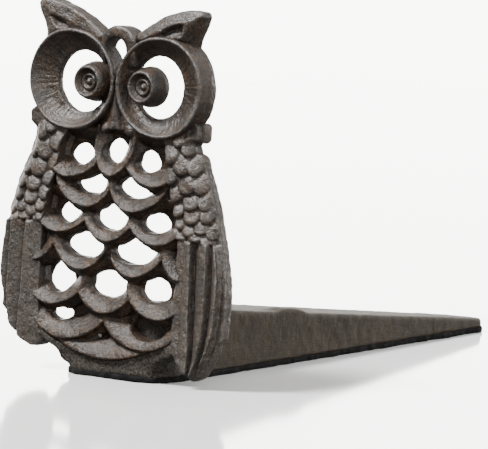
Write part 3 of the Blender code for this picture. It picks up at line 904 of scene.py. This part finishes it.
def build_wedge(iron, rubber):
    step = WEDGE_STEP
    low = (WEDGE_LOW.x - 7.6, WEDGE_LOW.y - 1.2, PAD_HIGH.z - 0.4)
    high = (WEDGE_HIGH.x + 4.6, WEDGE_HIGH.y + 0.4, WEDGE_HIGH.z + 0.8)
    cast("wedge_cast", low, high, step, wedge_field(231, step), iron, ["wedge"])
    low = (WEDGE_LOW.x - 0.8, WEDGE_LOW.y - 0.8, PAD_LOW.z)
    high = (WEDGE_HIGH.x + 0.8, WEDGE_HIGH.y + 0.3, PAD_HIGH.z)
    cast("base_pad_cut", low, high, PAD_STEP, pad_field(241, PAD_STEP), rubber, ["base_pad"])


# ---------------------------------------------------------------- materials

def new_material(name):
    """A material, its node tree and its shader."""
    made = bpy.data.materials.new(name)
    made.use_nodes = True
    tree = made.node_tree
    return made, tree, tree.nodes["Principled BSDF"]


class Nodes:
    """Short ways of adding nodes to a material."""

    def __init__(self, tree):
        self.tree = tree
        coords = tree.nodes.new("ShaderNodeTexCoord")
        self.place = self.new("ShaderNodeVectorMath", operation="SCALE")
        self.tree.links.new(coords.outputs["Object"], self.place.inputs[0])
        self.place.inputs["Scale"].default_value = 1.0 / MM

    def new(self, kind, **settings):
        node = self.tree.nodes.new(kind)
        for key, value in settings.items():
            setattr(node, key, value)
        return node

    def noise(self, size, detail=4.0, roughness=0.6, stretch=None, offset=0.0):
        """Noise whose lumps are about size mm across."""
        source = self.place.outputs[0]
        if stretch or offset:
            mapping = self.new("ShaderNodeMapping")
            self.tree.links.new(source, mapping.inputs["Vector"])
            mapping.inputs["Location"].default_value = (offset, offset, offset)
            mapping.inputs["Scale"].default_value = stretch or (1.0, 1.0, 1.0)
            source = mapping.outputs[0]
        node = self.new("ShaderNodeTexNoise")
        node.inputs["Scale"].default_value = 1.0 / size
        node.inputs["Detail"].default_value = detail
        node.inputs["Roughness"].default_value = roughness
        self.tree.links.new(source, node.inputs["Vector"])
        return node.outputs["Fac"]

    def range(self, value, low, high, out_low=0.0, out_high=1.0):
        """Smooth step of the value, from out_low at low to out_high at high."""
        node = self.new("ShaderNodeMapRange", interpolation_type="SMOOTHSTEP")
        node.inputs["From Min"].default_value = low
        node.inputs["From Max"].default_value = high
        node.inputs["To Min"].default_value = out_low
        node.inputs["To Max"].default_value = out_high
        self.tree.links.new(value, node.inputs["Value"])
        return node.outputs["Result"]

    def math(self, operation, a, b, clamp=False):
        node = self.new("ShaderNodeMath", operation=operation, use_clamp=clamp)
        for socket, value in zip(node.inputs, (a, b)):
            if isinstance(value, (int, float)):
                socket.default_value = value
            else:
                self.tree.links.new(value, socket)
        return node.outputs[0]

    def mix(self, factor, a, b):
        node = self.new("ShaderNodeMix", data_type="RGBA")
        for socket, value in ((node.inputs[0], factor), (node.inputs[6], a),
                              (node.inputs[7], b)):
            if isinstance(value, (int, float)):
                socket.default_value = value
            elif isinstance(value, tuple):
                socket.default_value = (*value, 1.0)
            else:
                self.tree.links.new(value, socket)
        return node.outputs[2]

    def scale(self, colour, factor):
        node = self.new("ShaderNodeVectorMath", operation="SCALE")
        self.tree.links.new(colour, node.inputs[0])
        self.tree.links.new(factor, node.inputs["Scale"])
        return node.outputs[0]

    def bump(self, height, distance, strength=1.0, below=None):
        node = self.new("ShaderNodeBump")
        node.inputs["Strength"].default_value = strength
        node.inputs["Distance"].default_value = distance * MM
        self.tree.links.new(height, node.inputs["Height"])
        if below:
            self.tree.links.new(below, node.inputs["Normal"])
        return node.outputs["Normal"]

    def normal_part(self, axis):
        geometry = self.new("ShaderNodeNewGeometry")
        split = self.new("ShaderNodeSeparateXYZ")
        self.tree.links.new(geometry.outputs["Normal"], split.inputs[0])
        return split.outputs[axis]

    def place_part(self, axis):
        split = self.new("ShaderNodeSeparateXYZ")
        self.tree.links.new(self.place.outputs[0], split.inputs[0])
        return split.outputs[axis]

    def attribute(self, name):
        node = self.new("ShaderNodeAttribute", attribute_name=name)
        return node.outputs["Fac"]


def cast_iron(name, dark, brown, worn_and_top_lit, low_wear=0.0, gloss=0.48, mottle=0.40, rub=0.05):
    """Sand-cast iron: painted shade makes the recesses dark brown, painted top light lifts upward
    faces slightly, and it is rubbed grey and glinting where it is proud.

    low_wear is the wear of the long feathers below the shoulders, mottle the strength of the
    fine specks, and rub how far a crest stands out before it is worn.
    """
    made, tree, shader = new_material(name)
    n = Nodes(tree)
    relief = n.attribute("relief")
    proud = n.range(relief, rub, rub + 0.19)
    # masks for painted shade in the hollows and painted top light on upward faces
    painted_recess_shade = n.range(relief, -0.02, -0.24)
    painted_top_light = n.range(n.normal_part("Z"), 0.0, 0.9)
    cloud = n.range(n.noise(5.0, 6.0, 0.7), 0.38, 0.62)
    grain = n.noise(0.68, 3.0, 0.70)
    fleck = n.noise(0.60, 3.0, 0.7, offset=31.0)
    fine = n.noise(0.36, 2.0, 0.6, offset=53.0)
    body = n.mix(cloud, dark, brown)
    # painted shade: hollows (negative relief) are mixed towards a darker brown
    body = n.mix(n.math("MULTIPLY", painted_recess_shade, 0.45), body, tuple(0.5 * c for c in brown))
    speckle = n.range(fleck, 0.52, 0.68)
    body = n.mix(n.math("MULTIPLY", speckle, 0.50), body, (0.056, 0.046, 0.037))
    # real wear on proud crests and low feathers, plus a slight painted top light on upward faces,
    # all mixed towards the worn grey
    wear_and_top_light = n.math("ADD", n.math("MULTIPLY", proud, 0.95), n.math("MULTIPLY", painted_top_light, 0.10))
    handled = n.range(n.place_part("Z"), 39.0, 35.0)
    wear_and_top_light = n.math("ADD", wear_and_top_light, n.math("MULTIPLY", handled, low_wear))
    patch = n.range(n.noise(1.2, 5.0, 0.75, offset=77.0), 0.40, 0.62)
    wear_and_top_light = n.math("MULTIPLY", wear_and_top_light, n.math("ADD", n.math("MULTIPLY", patch, 0.7), 0.35),
                  clamp=True)
    colour = n.mix(wear_and_top_light, body, worn_and_top_lit)
    pits = n.range(fine, 0.52, 0.36)
    colour = n.mix(n.math("MULTIPLY", pits, 0.70), colour, tuple(0.30 * c for c in dark))
    speck = n.range(n.noise(0.46, 2.0, 0.55, offset=91.0), 0.33, 0.67, 1.0 - mottle,
                    1.0 + 1.25 * mottle)
    colour = n.scale(colour, speck)
    tree.links.new(colour, shader.inputs["Base Color"])
    rough = n.math("ADD", n.math("MULTIPLY", fleck, 0.34), 0.21)
    rough = n.math("SUBTRACT", rough, n.math("MULTIPLY", wear_and_top_light, 0.05))
    tree.links.new(rough, shader.inputs["Roughness"])
    shader.inputs["Metallic"].default_value = 0.0
    shader.inputs["Specular IOR Level"].default_value = gloss
    below = n.bump(n.noise(2.2, 3.0, 0.6, offset=11.0), 0.36, 1.0)
    below = n.bump(grain, 0.20, 1.0, below)
    normal = n.bump(fine, 0.13, 1.0, below)
    tree.links.new(normal, shader.inputs["Normal"])
    return made


def wedge_iron():
    """Duller iron with a drawn, slightly striped skin."""
    made, tree, shader = new_material("cast_iron_dull")
    n = Nodes(tree)
    relief = n.attribute("relief")
    proud = n.range(relief, 0.0, 0.25)
    cloud = n.range(n.noise(9.0, 6.0), 0.35, 0.65)
    stripe = n.noise(0.7, 3.0, 0.6, stretch=(1.0, 0.12, 1.3))
    grain = n.noise(0.5, 3.0, 0.75, offset=5.0)
    fleck = n.range(n.noise(0.8, 4.0, 0.7, offset=19.0), 0.42, 0.66)
    body = n.mix(cloud, (0.0140, 0.0094, 0.0046), (0.0235, 0.0160, 0.0078))
    body = n.mix(n.math("MULTIPLY", fleck, 0.35), body, (0.028, 0.0215, 0.0125))
    # painted top light: faces that point up are mixed towards a lighter olive
    painted_top_light = n.range(n.normal_part("Z"), 0.6, 0.95)
    body = n.mix(n.math("MULTIPLY", painted_top_light, 0.60), body, (0.024, 0.0195, 0.0130))
    body = n.mix(n.math("MULTIPLY", proud, 0.4), body, (0.040, 0.034, 0.026))
    nose = n.range(n.place_part("Y"), FRONT + 17.0, FRONT + 9.0)
    speck = n.range(n.noise(0.55, 3.0, 0.7, offset=43.0), 0.36, 0.66)
    grimy = n.mix(speck, (0.0085, 0.0068, 0.0050), (0.058, 0.052, 0.045))
    body = n.mix(n.math("MULTIPLY", nose, 0.90), body, grimy)
    tree.links.new(body, shader.inputs["Base Color"])
    rough = n.math("ADD", n.math("MULTIPLY", grain, 0.25), 0.45)
    tree.links.new(rough, shader.inputs["Roughness"])
    shader.inputs["Metallic"].default_value = 0.0
    shader.inputs["Specular IOR Level"].default_value = 0.18
    below = n.bump(stripe, 0.12, 0.7)
    normal = n.bump(grain, 0.14, 1.0, below)
    tree.links.new(normal, shader.inputs["Normal"])
    return made


def rubber_pad():
    """Black foam rubber with an open, matt grain."""
    made, tree, shader = new_material("pad_black")
    n = Nodes(tree)
    cloud = n.range(n.noise(3.0, 4.0), 0.35, 0.65)
    grain = n.noise(0.35, 3.0, 0.7)
    colour = n.mix(cloud, (0.0035, 0.0035, 0.0037), (0.0095, 0.0094, 0.0094))
    tree.links.new(colour, shader.inputs["Base Color"])
    rough = n.math("ADD", n.math("MULTIPLY", grain, 0.3), 0.65)
    tree.links.new(rough, shader.inputs["Roughness"])
    shader.inputs["Specular IOR Level"].default_value = 0.06
    tree.links.new(n.bump(grain, 0.2, 0.9), shader.inputs["Normal"])
    return made


def blackened_steel():
    """Dark steel of the hidden screws and washers."""
    made, tree, shader = new_material("blackened_steel")
    n = Nodes(tree)
    streak = n.noise(0.6, 3.0, 0.6)
    colour = n.mix(n.range(streak, 0.35, 0.65), (0.055, 0.052, 0.050), (0.10, 0.096, 0.092))
    tree.links.new(colour, shader.inputs["Base Color"])
    rough = n.math("ADD", n.math("MULTIPLY", streak, 0.25), 0.22)
    tree.links.new(rough, shader.inputs["Roughness"])
    shader.inputs["Metallic"].default_value = 1.0
    tree.links.new(n.bump(streak, 0.03, 0.5), shader.inputs["Normal"])
    return made


def finish_fixings(steel):
    """The screws and washers keep their CAD shapes."""
    for name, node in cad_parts.items():
        if "screw" in name or "washer" in name:
            for place in node.material_slots:
                place.material = steel


# ---------------------------------------------------------------- surroundings

VIEW_AZIMUTH = math.radians(35.18)
VIEW_ELEVATION = math.radians(5.04)
VIEW_ROLL = math.radians(2.26)
VIEW_DISTANCE = 859.8
VIEW_TARGET = (41.0, FRONT + 0.5, 42.1)
SENSOR_WIDTH = 36.0
FOCAL_LENGTH = 262.6
BACKDROP_TOP = 0.16            # sine of the height that the bright backdrop reaches
FLOOR_HALF = 12.0              # metres


def build_floor():
    """Pale floor that mirrors a little and doesn't light the iron from below."""
    data = bpy.data.meshes.new("floor")
    corners = [(x * FLOOR_HALF, y * FLOOR_HALF, 0) for x, y in ((-1, -1), (1, -1), (1, 1), (-1, 1))]
    data.from_pydata(corners, [], [(0, 1, 2, 3)])
    made = bpy.data.objects.new("floor", data)
    bpy.context.scene.collection.objects.link(made)
    material, _, shader = new_material("floor_white")
    shader.inputs["Base Color"].default_value = (0.78, 0.78, 0.78, 1.0)
    shader.inputs["Roughness"].default_value = 0.09
    shader.inputs["Specular IOR Level"].default_value = 0.5
    data.materials.append(material)
    made.visible_diffuse = False
    made.visible_glossy = False


def build_sun(name, source, angle, power):
    """Soft light from the direction of source."""
    data = bpy.data.lights.new(name, "SUN")
    data.angle = math.radians(angle)
    data.energy = power
    made = bpy.data.objects.new(name, data)
    made.rotation_mode = "QUATERNION"
    made.rotation_quaternion = Vector(source).to_track_quat("Z", "Y")
    bpy.context.scene.collection.objects.link(made)


def build_world(backdrop, above, below):
    """Dim room with a bright low backdrop behind the object."""
    world = bpy.data.worlds.new("studio")
    world.use_nodes = True
    tree = world.node_tree
    shader = tree.nodes["Background"]
    shader.inputs["Color"].default_value = (1.0, 0.98, 0.95, 1.0)
    n = Nodes(tree)
    coords = tree.nodes.new("ShaderNodeTexCoord")
    split = tree.nodes.new("ShaderNodeSeparateXYZ")
    tree.links.new(coords.outputs["Generated"], split.inputs[0])
    height = split.outputs["Z"]
    away = n.math("ADD", n.math("MULTIPLY", split.outputs["Y"], math.cos(VIEW_AZIMUTH)),
                  n.math("MULTIPLY", split.outputs["X"], -math.sin(VIEW_AZIMUTH)))
    low = n.math("MULTIPLY", n.range(height, BACKDROP_TOP + 0.10, BACKDROP_TOP),
                 n.range(height, -0.06, -0.01))
    behind = n.math("MULTIPLY", low, n.range(away, 0.35, 0.80))
    level = n.range(height, -0.05, 0.05, below, above)
    level = n.math("ADD", level, n.math("MULTIPLY", behind, backdrop))
    tree.links.new(level, shader.inputs["Strength"])
    bpy.context.scene.world = world


def build_camera():
    """Long lens, a little above the floor, to the right of the owl's face."""
    level = math.cos(VIEW_ELEVATION)
    back = Vector((math.sin(VIEW_AZIMUTH) * level, -math.cos(VIEW_AZIMUTH) * level,
                   math.sin(VIEW_ELEVATION)))
    right = Vector((math.cos(VIEW_AZIMUTH), math.sin(VIEW_AZIMUTH), 0.0))
    up = back.cross(right)
    tilted_right = right * math.cos(VIEW_ROLL) + up * math.sin(VIEW_ROLL)
    tilted_up = up * math.cos(VIEW_ROLL) - right * math.sin(VIEW_ROLL)
    data = bpy.data.cameras.new("camera")
    data.sensor_width = SENSOR_WIDTH
    data.lens = FOCAL_LENGTH
    data.clip_start = 0.05
    data.clip_end = 20.0
    made = bpy.data.objects.new("camera", data)
    turn = Matrix((tilted_right, tilted_up, back)).transposed().to_4x4()
    place = (Vector(VIEW_TARGET) + back * VIEW_DISTANCE) * MM
    made.matrix_world = Matrix.Translation(place) @ turn
    bpy.context.scene.collection.objects.link(made)
    bpy.context.scene.camera = made


def build_lights():
    """Key from high on the left, a wide light above, a fill from the right and the room."""
    build_sun("key", (-0.36, -0.50, 0.79), angle=16.0, power=10.5)
    build_sun("top", (0.10, 0.10, 1.0), angle=60.0, power=2.0)
    build_sun("fill", (0.90, -0.40, 0.30), angle=70.0, power=4.0)
    build_world(backdrop=10.0, above=0.62, below=0.34)


def main():
    iron = cast_iron("cast_iron_skin", (0.0125, 0.0090, 0.0063), (0.034, 0.0200, 0.0112),
                     (0.090, 0.089, 0.089))
    rubbed = cast_iron("cast_iron_rubbed", (0.0180, 0.0134, 0.0100), (0.040, 0.0254, 0.0155),
                       (0.088, 0.083, 0.076), low_wear=0.34, mottle=0.22)
    shaded = cast_iron("cast_iron_breast", (0.0120, 0.0085, 0.0058), (0.036, 0.0210, 0.0118),
                       (0.100, 0.095, 0.090), gloss=0.26, mottle=0.52, rub=0.13)
    build_eyes(iron)
    build_head(iron)
    build_breast(shaded)
    build_wings(rubbed)
    build_wedge(wedge_iron(), rubber_pad())
    finish_fixings(blackened_steel())
    build_floor()
    build_lights()
    build_camera()


main()
